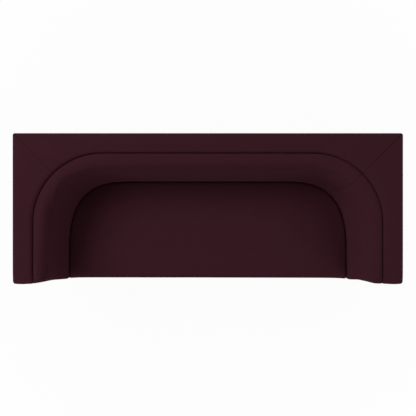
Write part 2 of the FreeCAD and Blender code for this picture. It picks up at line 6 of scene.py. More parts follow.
import bpy
import numpy as np
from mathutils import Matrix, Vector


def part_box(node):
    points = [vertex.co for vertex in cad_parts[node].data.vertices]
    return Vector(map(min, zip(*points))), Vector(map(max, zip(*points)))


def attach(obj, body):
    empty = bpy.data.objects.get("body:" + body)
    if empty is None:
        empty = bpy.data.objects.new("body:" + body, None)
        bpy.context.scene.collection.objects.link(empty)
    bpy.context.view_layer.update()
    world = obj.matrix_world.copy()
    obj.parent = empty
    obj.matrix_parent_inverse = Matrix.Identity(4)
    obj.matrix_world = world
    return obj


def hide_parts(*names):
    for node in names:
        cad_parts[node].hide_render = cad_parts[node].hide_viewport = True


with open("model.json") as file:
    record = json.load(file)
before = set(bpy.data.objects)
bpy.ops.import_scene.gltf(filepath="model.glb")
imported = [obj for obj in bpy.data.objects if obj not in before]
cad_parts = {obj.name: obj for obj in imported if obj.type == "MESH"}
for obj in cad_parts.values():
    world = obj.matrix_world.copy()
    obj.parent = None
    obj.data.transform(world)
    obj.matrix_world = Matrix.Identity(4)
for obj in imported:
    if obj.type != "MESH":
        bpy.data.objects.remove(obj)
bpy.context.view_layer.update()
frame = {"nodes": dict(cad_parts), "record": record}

# The body, in metres: x to the right, y to the back, z up
HALF_WIDTH = 1.0025
FRONT = -0.3885
BACK = 0.3875
BACK_CORNER = 0.010
RIM_TOP = 0.700
BODY_BOTTOM = 0.050
DECK = 0.3005
SHARP_ANGLE = math.radians(50)

# The groove between rim and pad, with a bend at each back corner; the steps round a bend are in radians
GROOVE_X = 0.900
GROOVE_Y = 0.285
GROOVE_BEND = 0.358
GROOVE_GAP = 0.0010
STRAIGHT_X = GROOVE_X - GROOVE_BEND
STRAIGHT_Y = GROOVE_Y - GROOVE_BEND
CORNER_STEP = 0.03
CLOSE_TO_SEAM = 0.05
STEPS_TO_SEAM = (0.036, 0.028, 0.021, 0.015, 0.010, 0.0065, 0.0035, 0.0014, 0.0)

# The mitre seams: half a joint, and how the covers sink beside it, deeper on the back side of the right seam
MITRE = GROOVE_X - GROOVE_Y
JOINT = 0.0003
SEAM_REACH = 0.005
SEAM_DEPTH = 0.0012
DEEP_SEAM_REACH = 0.010
DEEP_SEAM_DEPTH = 0.0032
SEAM_FADE = 1.5

# The crease between pad and seat
CREASE_X = 0.778
CREASE_Y = 0.1515
CREASE_BEND_X = 0.360
CREASE_BEND_Y = 0.420
CREASE_FULLNESS = 2.85

# The rim border: its rounded outer edge, its rolled lip at the groove, its crown and its foot
BORDER_DEPTH = 0.0247
BORDER_EDGE = 0.005
BORDER_FRONT_EDGE = 0.011
BORDER_LIP = 0.024
BORDER_LIP_DEPTH = 0.019
BORDER_FRONT_LIP_DEPTH = 0.003
BORDER_FRONT_RUN = 0.06
BORDER_SIDE_DEPTHS = (BORDER_DEPTH, 0.018, 0.0135)
BORDER_WALL_DEPTHS = (0.022, BORDER_DEPTH)
BORDER_FACE_DEPTH = 0.015
BORDER_STEPS = 16
BORDER_FOOT_REACH = 0.008
BORDER_FOOT_DEPTH = 0.006
BORDER_FOOT_HEIGHTS = (0.0, 0.0012, 0.003, 0.005, 0.008, 0.014)
BORDER_ABOVE_FOOT = 0.025
BORDER_FRONT_STEP = 0.015
BORDER_TOP_STEP = 0.012
BORDER_BACK_STEP = 0.016
ARM_PILLOW = 0.0015
BACK_PILLOW = 0.0075
FRONT_ROLL = 0.016
FRONT_SLOPE = 0.150
FRONT_FALL = 0.002
FRONT_FALL_POWER = 1.7

# The pad: a lip in the groove, a roll that leans out over it, and a slope that is a little hollow on the arms
NARROWEST_PAD = 0.05
WIDEST_PAD = 0.25
HALVINGS = 40
ARM_PAD_STEP = 0.013
BACK_PAD_STEP = 0.015
OUTER_WALL_POINTS = 12
INNER_WALL_POINTS = 10
FOOT_POINTS = 8
PAD_LIP = 0.006
PAD_LIP_STEPS = 5
ROLL = 0.048
ROLL_AT_FRONT = 0.038
ROLL_CHANGE = 0.2
ROLL_LEAN = math.radians(36)
ROLL_STEPS = 18
SLOPE_STEPS = 26
BACK_SAG = 0.002
ARM_SAG = 0.012
SAG_SCALE = 5.38
LIP_TUCK = 0.55
TUCK_GAIN = 0.05
TUCK_LOSS = 0.85
PAD_FRONT_ROLL = 0.030
PAD_FRONT_RINGS = 13
PAD_FRONT_PUFF = 0.001
PAD_FRONT_SHARES = (0.06, 0.2, 0.4, 0.6, 0.78, 0.9, 0.96, 0.985)
SET_BACK_RUN = 0.10
SET_BACK_WAVE = 4.76
LEFT_SET_BACK = (0.0050, 0.0030)
RIGHT_SET_BACK = (-0.0005, 0.0060)

# The bench seat: its corner in plan, its edge, the roll of its front and the way it swells and tucks in
SEAT_TOP = 0.445
SEAT_FOOT = 0.3035
SEAT_FLAT = SEAT_TOP - 0.002
SEAT_FRONT = -0.389
SEAT_EDGE = 0.010
SEAT_CORNER = 0.004
SEAT_CLEARANCE = 0.0012
SEAT_FOOT_ROLL = ((0.006, 0.0), (0.0025, 0.002), (SEAT_CLEARANCE, 0.006))
SEAT_ABOVE_FOOT = 0.02
SEAT_WALL_RINGS = 8
SEAT_EDGE_RINGS = 8
SEAT_FRONT_ROLL = 0.045
SEAT_ROLL_SHARE = 0.8
SEAT_CROWN = 0.006
SEAT_SKIN = 0.008
SEAT_FORWARD = 0.0045
SEAT_FORWARD_REACH = 0.045
SEAT_FORWARD_RUN = 0.05
SEAT_LEAN = 0.0018
BACK_TUCK = 0.004
SIDE_TUCK_GAIN = 0.009
TUCK_REACH = 0.035
TUCK_FRONT_RUN = 0.08

# The flat padded panels and the skirt under the seat
PANEL_SWELL = 0.002
PANEL_EDGE = 0.005
SKIRT_SWELL = 0.003
SKIRT_EDGE = 0.008
PANEL_JOINT = 0.0004
PANEL_STEP = 0.022
PANEL_SWELL_RUN = 0.12
PANEL_EDGE_SHARES = (0.0, 0.06, 0.2, 0.42, 0.7, 1.0)
PANEL_EDGE_LIMIT = 0.7

# Where the covers are sewn down while they fill, and how far the filling moves them at most
SEWN_AT_SEAM = 0.012
SEWN_SEAT_FOOT = 0.045
SEWN_SEAT_CREASE = 0.97
SEWN_SEAT_FRONT = 0.05
FILLING_PRESSURE = 3.0
SEAT_FILLING = 0.005
PAD_FILLING = 0.004
FILLING_FRAMES = 20


def mesh_piece(name, points, faces):
    """A closed mesh, smooth but for its sharp edges."""
    mesh = bpy.data.meshes.new(name)
    mesh.from_pydata([tuple(p) for p in points], [], faces)
    mesh.validate()
    piece = bpy.data.objects.new(name, mesh)
    bpy.context.scene.collection.objects.link(piece)
    face_outward(mesh)
    mesh.polygons.foreach_set("use_smooth", [True] * len(mesh.polygons))
    mesh.set_sharp_from_angle(angle=SHARP_ANGLE)
    return piece


def face_outward(mesh):
    """Turns the faces of a closed mesh so that they look out."""
    volume = 0.0
    for poly in mesh.polygons:
        first = mesh.vertices[poly.vertices[0]].co
        for a, b in zip(poly.vertices[1:-1], poly.vertices[2:]):
            volume += first.dot(mesh.vertices[a].co.cross(mesh.vertices[b].co))
    if volume < 0:
        mesh.flip_normals()


def swept(name, rings):
    """Skins rings of points, each with the same count, and closes both ends."""
    count = len(rings[0])
    points = [p for ring in rings for p in ring]
    faces = []
    for i in range(len(rings) - 1):
        for j in range(count):
            k = (j + 1) % count
            faces.append((i * count + j, i * count + k, (i + 1) * count + k, (i + 1) * count + j))
    last = (len(rings) - 1) * count
    faces.append(tuple(reversed(range(count))))
    faces.append(tuple(range(last, last + count)))
    return mesh_piece(name, points, faces)


def steps(start, end, spacing):
    """Even values from start up to, but not with, end."""
    count = max(1, round(abs(end - start) / spacing))
    return [start + (end - start) * i / count for i in range(count)]


def clamped(value):
    return min(1.0, max(0.0, value))


def between(start, end, share):
    return start + (end - start) * share


def fading(distance, reach):
    """A share that is 1 at no distance and falls evenly to 0 at reach."""
    return max(0.0, 1.0 - distance / reach)


def edge_drop(distance, reach, depth):
    """How far a surface falls away in a rounded edge, at a distance from that edge."""
    t = clamped(distance / reach)
    return depth * (1.0 - math.sqrt(1.0 - (1.0 - t) ** 2))


def seam_sink(x, y):
    """How far a cover is pulled in next to a mitre seam: deeper on the back side of the right seam."""
    off_seam = (abs(x) - y - MITRE) / math.sqrt(2)
    if x > 0 > off_seam:
        return edge_drop(abs(off_seam), DEEP_SEAM_REACH, DEEP_SEAM_DEPTH)
    return edge_drop(abs(off_seam), SEAM_REACH, SEAM_DEPTH)


def front_fall(y):
    """How much lower the top of an arm is near its front, where it slopes away to the front edge."""
    return FRONT_FALL * fading(y - FRONT, FRONT_SLOPE) ** FRONT_FALL_POWER


def corner_angles():
    """Angles from the start of a rounded corner to its mitre seam, close together near the seam."""
    seam = math.pi / 4 - JOINT / GROOVE_BEND
    return steps(0.0, seam - CLOSE_TO_SEAM, CORNER_STEP) + [seam - n for n in STEPS_TO_SEAM]


def groove_point(side, angle):
    """A point on a back corner of the groove, and the way in across the pad. Angle 0 is next to the arm."""
    c, s = math.cos(angle), math.sin(angle)
    return side * (STRAIGHT_X + GROOVE_BEND * c), STRAIGHT_Y + GROOVE_BEND * s, -side * c, -s


def crease_share(x, y):
    """How far out a point of the seat lies, 1 on the crease and less inside it, and its two parts."""
    across = max(0.0, abs(x) - (CREASE_X - CREASE_BEND_X)) / CREASE_BEND_X
    back = max(0.0, y - (CREASE_Y - CREASE_BEND_Y)) / CREASE_BEND_Y
    return (across ** CREASE_FULLNESS + back ** CREASE_FULLNESS) ** (1.0 / CREASE_FULLNESS), across, back


def crease_reach(gx, gy, nx, ny):
    """Distance from the groove, straight across the pad, to the crease."""
    low, high = NARROWEST_PAD, WIDEST_PAD
    for _ in range(HALVINGS):
        d = (low + high) / 2
        if crease_share(gx + nx * d, gy + ny * d)[0] > 1.0:
            low = d
        else:
            high = d
    return low


def pad_profile(reach, roll, sag):
    """The pad's visible run from groove to crease.

    Each point gives its distance in, its height, the way out of the surface (in, up) and its share of a tuck.
    """
    crest = GROOVE_GAP + PAD_LIP - PAD_LIP * math.sin(ROLL_LEAN) + roll * math.sin(ROLL_LEAN)
    across = reach - crest
    fall = RIM_TOP - SEAT_TOP - roll
    steep = math.atan2(fall, across) + math.asin(roll / math.hypot(across, fall))
    lip_height = RIM_TOP - (roll - PAD_LIP) * (1.0 - math.cos(ROLL_LEAN)) - PAD_LIP
    run = []
    for i in range(PAD_LIP_STEPS):
        a = -math.pi / 2 + (math.pi / 2 - ROLL_LEAN) * i / PAD_LIP_STEPS
        run.append((GROOVE_GAP + PAD_LIP + PAD_LIP * math.sin(a), lip_height + PAD_LIP * math.cos(a),
                    0.0, 1.0, LIP_TUCK))
    for i in range(ROLL_STEPS + 1):
        a = -ROLL_LEAN + (steep + ROLL_LEAN) * i / ROLL_STEPS
        run.append((crest + roll * math.sin(a), RIM_TOP - roll + roll * math.cos(a),
                    math.sin(a), math.cos(a), min(1.0, LIP_TUCK + TUCK_GAIN * i)))
    d0, z0 = run[-1][0], run[-1][1]
    for i in range(1, SLOPE_STEPS + 1):
        s = i / SLOPE_STEPS
        # With this scale the deepest point of the hollow is sag
        hollow = SAG_SCALE * sag * s ** 1.5 * (1.0 - s)
        run.append((d0 + (reach - JOINT - d0) * s - hollow * math.sin(steep),
                    z0 + (SEAT_TOP - z0) * s - hollow * math.cos(steep),
                    math.sin(steep), math.cos(steep), 1.0 - TUCK_LOSS * s))
    return run


def pad_ring(gx, gy, nx, ny, tuck=0.0):
    """One closed section of the pad at a point of the groove, its visible run set back by tuck."""
    reach = crease_reach(gx, gy, nx, ny)
    fall = front_fall(gy)
    roll = between(ROLL, ROLL_AT_FRONT, clamped((STRAIGHT_Y - gy) / ROLL_CHANGE))
    sag = between(BACK_SAG, ARM_SAG, nx ** 2)
    run = []
    for d, z, nd, nz, share in pad_profile(reach, roll, sag):
        low = min(1.0, (RIM_TOP - z) / (RIM_TOP - SEAT_TOP))
        sink = seam_sink(gx + nx * d, gy + ny * d) * (1.0 - low) ** SEAM_FADE + tuck * share
        run.append((d - nd * sink, z - nz * sink - fall * (1.0 - low)))
    wall_in, wall_out = run[-1][0], run[0][0]
    section = [(wall_out, z) for z in np.linspace(DECK, run[0][1], OUTER_WALL_POINTS)[:-1]]
    section += run
    section += [(wall_in, z) for z in np.linspace(run[-1][1], DECK, INNER_WALL_POINTS)[1:]]
    section += [(d, DECK) for d in np.linspace(wall_in, wall_out, FOOT_POINTS)[1:-1]]
    return [(gx + nx * d, gy + ny * d, z) for d, z in section]


def front_cap(ring, puff):
    """Rings that close the front of an arm pad in a slightly swollen face, innermost first."""
    middle = np.mean(np.array(ring), axis=0)
    cap = []
    for share in PAD_FRONT_SHARES:
        forward = np.array((0, puff * math.sqrt(1.0 - share ** 6), 0))
        cap.append([tuple(middle + (np.array(p) - middle) * share - forward) for p in ring])
    return cap


def set_back(x, y):
    """How far the front end of an arm pad stands back: under the left roll, but forward at the crease."""
    across = clamped((GROOVE_X - abs(x)) / (GROOVE_X - CREASE_X))
    near = fading(y - FRONT, SET_BACK_RUN) ** 2
    wave = math.sin(SET_BACK_WAVE * across)
    under_roll, at_crease = LEFT_SET_BACK if x < 0 else RIGHT_SET_BACK
    return near * wave * (under_roll if wave > 0 else at_crease)


def arm_pad(name, side):
    """The pad of one arm, from its rolled front edge to the mitre seam."""
    gx = side * GROOVE_X
    start = FRONT + PAD_FRONT_PUFF
    rings = []
    for tilt in np.linspace(math.pi / 2, 0, PAD_FRONT_RINGS):
        y = start + PAD_FRONT_ROLL * (1 - math.sin(tilt))
        rings.append(pad_ring(gx, y, -side, 0.0, PAD_FRONT_ROLL * (1 - math.cos(tilt))))
    rings = front_cap(rings[0], PAD_FRONT_PUFF) + rings
    straight = steps(start + PAD_FRONT_ROLL, STRAIGHT_Y, ARM_PAD_STEP)[1:]
    rings += [pad_ring(gx, y, -side, 0.0) for y in straight]
    rings = [[(x, y + set_back(x, y), z) for x, y, z in ring] for ring in rings]
    rings += [pad_ring(*groove_point(side, a)) for a in corner_angles()]
    return swept(name, rings)


def back_pad(name):
    """The pad of the back, from mitre seam to mitre seam."""
    angles = [math.pi / 2 - a for a in corner_angles()]
    rings = [pad_ring(*groove_point(-1, a)) for a in reversed(angles)]
    straight = steps(-STRAIGHT_X, STRAIGHT_X, BACK_PAD_STEP)[1:]
    rings += [pad_ring(x, GROOVE_Y, 0.0, -1.0) for x in straight]
    rings += [pad_ring(*groove_point(1, a)) for a in angles]
    return swept(name, rings)


def border_ring(outer, inner, into, foot_gap=1.0, pillow=ARM_PILLOW, front=0.0):
    """One closed section of the flat border between its outer edge and the groove.

    into points from the surface into the body, foot_gap is the distance to the border's lower end, and front
    is 1 on the front of an arm, where the corner is rounder and the groove shallower.
    """
    outer, inner, into = np.array(outer), np.array(inner), np.array(into)
    width = float(np.linalg.norm(inner - outer))
    along = (inner - outer) / width
    edge = between(BORDER_EDGE, BORDER_FRONT_EDGE, front)
    lip_depth = between(BORDER_LIP_DEPTH, BORDER_FRONT_LIP_DEPTH, front)
    lip_end = width - GROOVE_GAP
    quarter = range(0, 91, 15)
    plan = [(0.0, depth, True) for depth in BORDER_SIDE_DEPTHS]
    for angle in quarter:
        a = math.radians(angle)
        plan.append((edge - edge * math.cos(a), edge - edge * math.sin(a), angle < 45))
    for i in range(1, BORDER_STEPS):
        s = edge + (width - edge - BORDER_LIP - GROOVE_GAP) * i / BORDER_STEPS
        plan.append((s, -pillow * math.sin(math.pi * i / BORDER_STEPS), False))
    for angle in quarter:
        a = math.radians(angle)
        plan.append((lip_end - BORDER_LIP + BORDER_LIP * math.sin(a),
                     lip_depth - lip_depth * math.cos(a), False))
    plan += [(lip_end, depth, False) for depth in BORDER_WALL_DEPTHS]
    plan += [(width * s, BORDER_DEPTH, False) for s in (0.8, 0.6, 0.4, 0.2)]
    ring = []
    for s, depth, on_side in plan:
        p = outer + along * s
        sink = seam_sink(p[0], p[1]) + edge_drop(foot_gap, BORDER_FOOT_REACH, BORDER_FOOT_DEPTH)
        if on_side:
            p = p + along * sink
        elif depth < BORDER_FACE_DEPTH:
            depth += sink
        ring.append(tuple(p + into * depth))
    return ring


def outer_slide(angle):
    """How far the outer edge has run on when the groove has turned by angle from the start of its corner."""
    corner = HALF_WIDTH - STRAIGHT_X
    spread = (corner - GROOVE_BEND * math.pi / 4) / (math.pi / 4) ** 2
    return GROOVE_BEND * angle + spread * angle ** 2


def rim_corner(x, y):
    """A point of the rim's outer edge, drawn in where the upright corner at the back is rounded."""
    side = math.copysign(1.0, x)
    across = abs(x) - (HALF_WIDTH - BACK_CORNER)
    back = y - (BACK - BACK_CORNER)
    reach = math.hypot(max(across, 0.0), max(back, 0.0))
    if across > 0 and back > 0 and reach > BACK_CORNER:
        x -= side * across * (1.0 - BACK_CORNER / reach)
        y -= back * (1.0 - BACK_CORNER / reach)
    return x, y, RIM_TOP


def arm_line():
    """The arm border's run, as (y, z): up the front, over the front edge and back to the bend."""
    start = FRONT + FRONT_ROLL
    little = 0.002
    slope = math.atan2(front_fall(start) - front_fall(start + little), little)
    turn = RIM_TOP - front_fall(start) - FRONT_ROLL * math.cos(slope)
    line = [(FRONT, BODY_BOTTOM + h) for h in BORDER_FOOT_HEIGHTS]
    line += [(FRONT, z) for z in steps(BODY_BOTTOM + BORDER_ABOVE_FOOT, turn, BORDER_FRONT_STEP)]
    line += [(start - FRONT_ROLL * math.cos(t), turn + FRONT_ROLL * math.sin(t))
             for t in np.linspace(0, math.pi / 2 - slope, 9)]
    line += [(y, RIM_TOP - front_fall(y)) for y in steps(start, STRAIGHT_Y, BORDER_TOP_STEP)[1:]]
    return line


def arm_border(name, side):
    """The border of one arm: up the front, over the front edge and back along the top to the mitre seam."""
    ox, gx = side * HALF_WIDTH, side * GROOVE_X
    line = arm_line()
    rings = []
    for i, (y, z) in enumerate(line):
        before, after = line[max(0, i - 1)], line[min(len(line) - 1, i + 1)]
        along_y, along_z = after[0] - before[0], after[1] - before[1]
        length = math.hypot(along_y, along_z)
        into = (0, along_z / length, -along_y / length)
        front = fading(y - FRONT, BORDER_FRONT_RUN) ** 2
        rings.append(border_ring((ox, y, z), (gx, y, z), into, z - BODY_BOTTOM, front=front))
    for a in corner_angles():
        x, y, _, _ = groove_point(side, a)
        rings.append(border_ring(rim_corner(ox, STRAIGHT_Y + outer_slide(a)), (x, y, RIM_TOP), (0, 0, -1)))
    return swept(name, rings)


def back_border(name):
    """The border of the back, from mitre seam to mitre seam, more crowned than the arms' borders."""
    down = (0, 0, -1)

    def corner(side):
        made = []
        for a in corner_angles():
            x, y, _, _ = groove_point(side, math.pi / 2 - a)
            outer = rim_corner(side * (STRAIGHT_X + outer_slide(a)), BACK)
            pillow = between(BACK_PILLOW, ARM_PILLOW, a / (math.pi / 4))
            made.append(border_ring(outer, (x, y, RIM_TOP), down, pillow=pillow))
        return made

    rings = corner(-1)[::-1]
    for x in steps(-STRAIGHT_X, STRAIGHT_X, BORDER_BACK_STEP)[1:]:
        rings.append(border_ring((x, BACK, RIM_TOP), (x, GROOVE_Y, RIM_TOP), down, pillow=BACK_PILLOW))
    rings += corner(1)
    return swept(name, rings)


def stuffed_panel(name, node, face, swell, edge):
    """A flat padded panel in a node's box, its outer face (axis, sign) swollen and its edges rounded."""
    low, high = (np.array(c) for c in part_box(node))
    axis, sign = face
    across = [i for i in range(3) if i != axis]
    inset = np.zeros(3)
    inset[across] = PANEL_JOINT
    low, high = low + inset, high - inset
    depth = high[axis] - low[axis]
    size = high - low

    def spread(length):
        ends = [edge * share for share in PANEL_EDGE_SHARES]
        return ends + steps(edge, length - edge, PANEL_STEP)[1:] + [length - e for e in reversed(ends)]

    us, vs = spread(size[across[0]]), spread(size[across[1]])
    rows, cols = len(us), len(vs)
    points, faces = [], []

    def place(u, v, out):
        p = np.zeros(3)
        p[across[0]] = low[across[0]] + u
        p[across[1]] = low[across[1]] + v
        p[axis] = (high[axis] - depth + out) if sign > 0 else (low[axis] + depth - out)
        return p

    for u in us:
        for v in vs:
            su = min(u, size[across[0]] - u)
            sv = min(v, size[across[1]] - v)
            fall = edge_drop(su, edge, edge) + edge_drop(sv, edge, edge)
            bulge = swell * min(1.0, su / PANEL_SWELL_RUN) ** 0.5 * min(1.0, sv / PANEL_SWELL_RUN) ** 0.5
            points.append(place(u, v, depth - min(fall, depth * PANEL_EDGE_LIMIT) + bulge))
    for u in us:
        for v in vs:
            points.append(place(u, v, 0.0))
    back = rows * cols
    for i in range(rows - 1):
        for j in range(cols - 1):
            a, b, c, d = i * cols + j, i * cols + j + 1, (i + 1) * cols + j + 1, (i + 1) * cols + j
            faces.append((a, b, c, d))
            faces.append((back + d, back + c, back + b, back + a))
    rim = [i * cols for i in range(rows)] + [(rows - 1) * cols + j for j in range(1, cols)]
    rim += [i * cols + cols - 1 for i in range(rows - 2, -1, -1)] + list(range(cols - 2, 0, -1))
    for a, b in zip(rim, rim[1:] + rim[:1]):
        faces.append((a, b, back + b, back + a))
    return mesh_piece(name, points, faces)


def seat_outline(inset):
    """The bench seat in plan, set in from the crease and the front: always the same count of points."""
    start_x, start_y = CREASE_X - CREASE_BEND_X, CREASE_Y - CREASE_BEND_Y
    x, y, front, nose = CREASE_X - inset, CREASE_Y - inset, SEAT_FRONT + inset, SEAT_CORNER
    half = []
    for i in range(5):
        a = math.pi * 1.5 + math.pi / 2 * i / 4
        half.append((x - nose + nose * math.cos(a), front + nose + nose * math.sin(a)))
    half += [(x, front + nose + (start_y - front - nose) * i / 12) for i in range(1, 12)]
    for i in range(65):
        a = math.pi / 2 * i / 64
        half.append((start_x + (x - start_x) * math.cos(a) ** (2 / CREASE_FULLNESS),
                     start_y + (y - start_y) * math.sin(a) ** (2 / CREASE_FULLNESS)))
    back = [(start_x * (1 - i / 20), y) for i in range(1, 40)]
    left = [(-px, py) for px, py in reversed(half)]
    outline = half + back + left + [((x - nose) * (i / 30 - 1), front) for i in range(1, 60)]
    shifted = []
    for px, py in outline:
        forward = SEAT_FORWARD * math.exp((abs(px) - x) / SEAT_FORWARD_REACH) + SEAT_LEAN * (1 + px / x)
        shifted.append((px, py - forward * fading(py - front, SEAT_FORWARD_RUN)))
    return shifted


def seat_cushion(name):
    """The bench seat before it is stuffed: a boxed block with a softly rounded top edge."""
    edge_start = SEAT_FLAT - SEAT_EDGE
    levels = [(inset, SEAT_FOOT + height) for inset, height in SEAT_FOOT_ROLL]
    wall = np.linspace(SEAT_FOOT + SEAT_ABOVE_FOOT, edge_start, SEAT_WALL_RINGS)
    levels += [(SEAT_CLEARANCE, z) for z in wall]
    for tilt in np.linspace(0, math.pi / 2, SEAT_EDGE_RINGS)[1:]:
        levels.append((SEAT_CLEARANCE + SEAT_EDGE * (1 - math.cos(tilt)),
                       edge_start + SEAT_EDGE * math.sin(tilt)))
    return swept(name, [[(px, py, z) for px, py in seat_outline(inset)] for inset, z in levels])


def crowned(piece):
    """Raises the middle of the seat, tucks it in along the crease and rolls its top away to the front."""
    for v in piece.data.vertices:
        x, y, z = v.co
        lift = max(0.0, (z - DECK) / (SEAT_TOP - DECK)) ** 2
        u = min(1.0, abs(x) / CREASE_X)
        w = min(1.0, abs(y - (CREASE_Y + FRONT) / 2) / ((CREASE_Y - FRONT) / 2))
        ahead = fading(y - SEAT_FRONT, SEAT_FRONT_ROLL)
        roll = SEAT_FRONT_ROLL * (1.0 - math.sqrt(max(0.0, 1.0 - ahead ** 2)))
        share, across, back = crease_share(x, y)
        gap = max(0.0, 1.0 - share) * CREASE_BEND_X
        sideways = across / max(across + back, 1e-6)
        tuck = (BACK_TUCK + SIDE_TUCK_GAIN * sideways) * math.exp(-gap / TUCK_REACH) if share > 0 else 0.0
        tuck *= clamped((y - SEAT_FRONT) / TUCK_FRONT_RUN)
        crown = SEAT_CROWN * (1 - u ** 6) * (1 - w ** 4)
        v.co.z = z + lift * (crown - SEAT_ROLL_SHARE * roll - tuck)


def remeshed(piece, voxel):
    """Gives a piece an even skin of small faces."""
    bpy.ops.object.select_all(action="DESELECT")
    piece.select_set(True)
    bpy.context.view_layer.objects.active = piece
    piece.data.remesh_voxel_size = voxel
    piece.data.use_remesh_preserve_volume = True
    bpy.ops.object.voxel_remesh()
    piece.data.polygons.foreach_set("use_smooth", [True] * len(piece.data.polygons))


def co_array(mesh):
    flat = np.empty(len(mesh.vertices) * 3)
    mesh.vertices.foreach_get("co", flat)
    return flat.reshape(-1, 3)


def stuffed(piece, is_held, cap):
    """Lets the cover swell under the pressure of its filling wherever it isn't sewn down, by cap at most."""
    mesh = piece.data
    before = co_array(mesh)
    group = piece.vertex_groups.new(name="sewn_down")
    group.add([i for i, p in enumerate(before) if is_held(*p)], 1.0, "REPLACE")
    cloth = piece.modifiers.new("filling", "CLOTH")
    rules = cloth.settings
    rules.quality = 4
    rules.mass = 0.3
    rules.tension_stiffness = 40
    rules.compression_stiffness = 40
    rules.shear_stiffness = 15
    rules.bending_stiffness = 2
    rules.air_damping = 5
    rules.use_pressure = True
    rules.uniform_pressure_force = FILLING_PRESSURE
    rules.vertex_group_mass = "sewn_down"
    rules.effector_weights.gravity = 0.0
    cloth.collision_settings.use_collision = False
    cloth.collision_settings.use_self_collision = False
    scene = bpy.context.scene
    for number in range(1, FILLING_FRAMES + 1):
        scene.frame_set(number)
    swollen = co_array(piece.evaluated_get(bpy.context.evaluated_depsgraph_get()).data)
    piece.modifiers.remove(cloth)
    piece.vertex_groups.remove(group)
    scene.frame_set(1)
    move = swollen - before
    far = np.linalg.norm(move, axis=1)
    move *= (cap * np.tanh(far / cap) / np.maximum(far, 1e-9))[:, None]
    mesh.vertices.foreach_set("co", (before + move).ravel())
    mesh.update()


def seat_sewn(x, y, z):
    """The seat is held at its foot, round the crease and along its front."""
    at_foot = z < SEAT_TOP - SEWN_SEAT_FOOT
    return at_foot or crease_share(x, y)[0] > SEWN_SEAT_CREASE or y < SEAT_FRONT + SEWN_SEAT_FRONT


def pad_sewn(x, y, z):
    """A pad is held at the groove, the mitre seams, the crease and its front end."""
    groove = GROOVE_BEND - math.hypot(max(abs(x) - STRAIGHT_X, 0.0), max(y - STRAIGHT_Y, 0.0))
    seam = abs(abs(x) - y - MITRE) / math.sqrt(2)
    return min(z - SEAT_TOP, groove, seam, y - FRONT) < SEWN_AT_SEAM


def node(tree, kind, inputs=None, **settings):
    """Adds a shader node; an input is given a plain value or the socket that feeds it."""
    made = tree.nodes.new(kind)
    for key, value in settings.items():
        setattr(made, key, value)
    for key, value in (inputs or {}).items():
        if isinstance(value, bpy.types.NodeSocket):
            tree.links.new(value, made.inputs[key])
        else:
            made.inputs[key].default_value = value
    return made


def sums(tree, operation, a, b, c=0.0):
    return node(tree, "ShaderNodeMath", {0: a, 1: b, 2: c}, operation=operation).outputs[0]


def blended(tree, share, a, b):
    """One colour turning into another; a mix node keeps its colours in sockets 6 and 7."""
    return node(tree, "ShaderNodeMix", {0: share, 6: a, 7: b}, data_type="RGBA").outputs[2]


def shade_of(tree, colour, value):
    """A colour times a value that changes over the surface."""
    return node(tree, "ShaderNodeVectorMath", {0: colour, "Scale": value}, operation="SCALE").outputs[0]


def ranged(tree, value, low, high, at_low=0.0, at_high=1.0):
    """A value that runs from at_low to at_high while the one given runs from low to high."""
    return node(tree, "ShaderNodeMapRange", {"Value": value, "From Min": low, "From Max": high,
                                             "To Min": at_low, "To Max": at_high}).outputs[0]


def noise(tree, place, scale, detail=3.0, roughness=0.55):
    return node(tree, "ShaderNodeTexNoise", {"Vector": place, "Scale": scale, "Detail": detail,
                                             "Roughness": roughness}).outputs["Fac"]


def new_group(name, inputs, outputs):
    tree = bpy.data.node_groups.new(name, "ShaderNodeTree")
    kinds = {"c": "NodeSocketColor", "f": "NodeSocketFloat"}
    for label, kind, value in inputs:
        tree.interface.new_socket(label, in_out="INPUT", socket_type=kinds[kind]).default_value = value
    for label, kind in outputs:
        tree.interface.new_socket(label, in_out="OUTPUT", socket_type=kinds[kind])
    return tree, tree.nodes.new("NodeGroupInput").outputs, tree.nodes.new("NodeGroupOutput").inputs


def fibre_group():
    """Short wool fibres lying every way over a cloth, with slow changes of tone."""
    tree, given, out = new_group(
        "wool_fibres",
        [("Colour", "c", (0.1, 0.1, 0.1, 1)), ("Fibres per metre", "f", 900.0), ("Fuzz", "f", 0.15),
         ("Mottle", "f", 0.06)],
        [("Colour", "c"), ("Roughness", "f"), ("Height", "f")])
    place = node(tree, "ShaderNodeTexCoord").outputs["Object"]
    ways = []
    for stretch, turn in (((1.0, 0.22, 0.6), 0.5), ((0.22, 1.0, 0.6), 1.1), ((0.6, 0.6, 0.22), 2.0)):
        laid = node(tree, "ShaderNodeMapping", {"Vector": place, "Rotation": (turn, turn * 0.7, turn * 1.3),
                                                "Scale": stretch}).outputs[0]
        ways.append(noise(tree, laid, given["Fibres per metre"], 2.0))
    pile = sums(tree, "MULTIPLY", sums(tree, "ADD", sums(tree, "ADD", ways[0], ways[1]), ways[2]), 0.3333)
    slow = noise(tree, place, 5.0, 4.0, 0.6)
    tone = sums(tree, "MULTIPLY_ADD", sums(tree, "SUBTRACT", slow, 0.5), given["Mottle"], 1.0)
    tone = sums(tree, "MULTIPLY_ADD", sums(tree, "SUBTRACT", pile, 0.5), given["Fuzz"], tone)
    tree.links.new(shade_of(tree, given["Colour"], tone), out["Colour"])
    tree.links.new(sums(tree, "MULTIPLY_ADD", pile, 0.16, 0.82), out["Roughness"])
    tree.links.new(pile, out["Height"])
    return tree


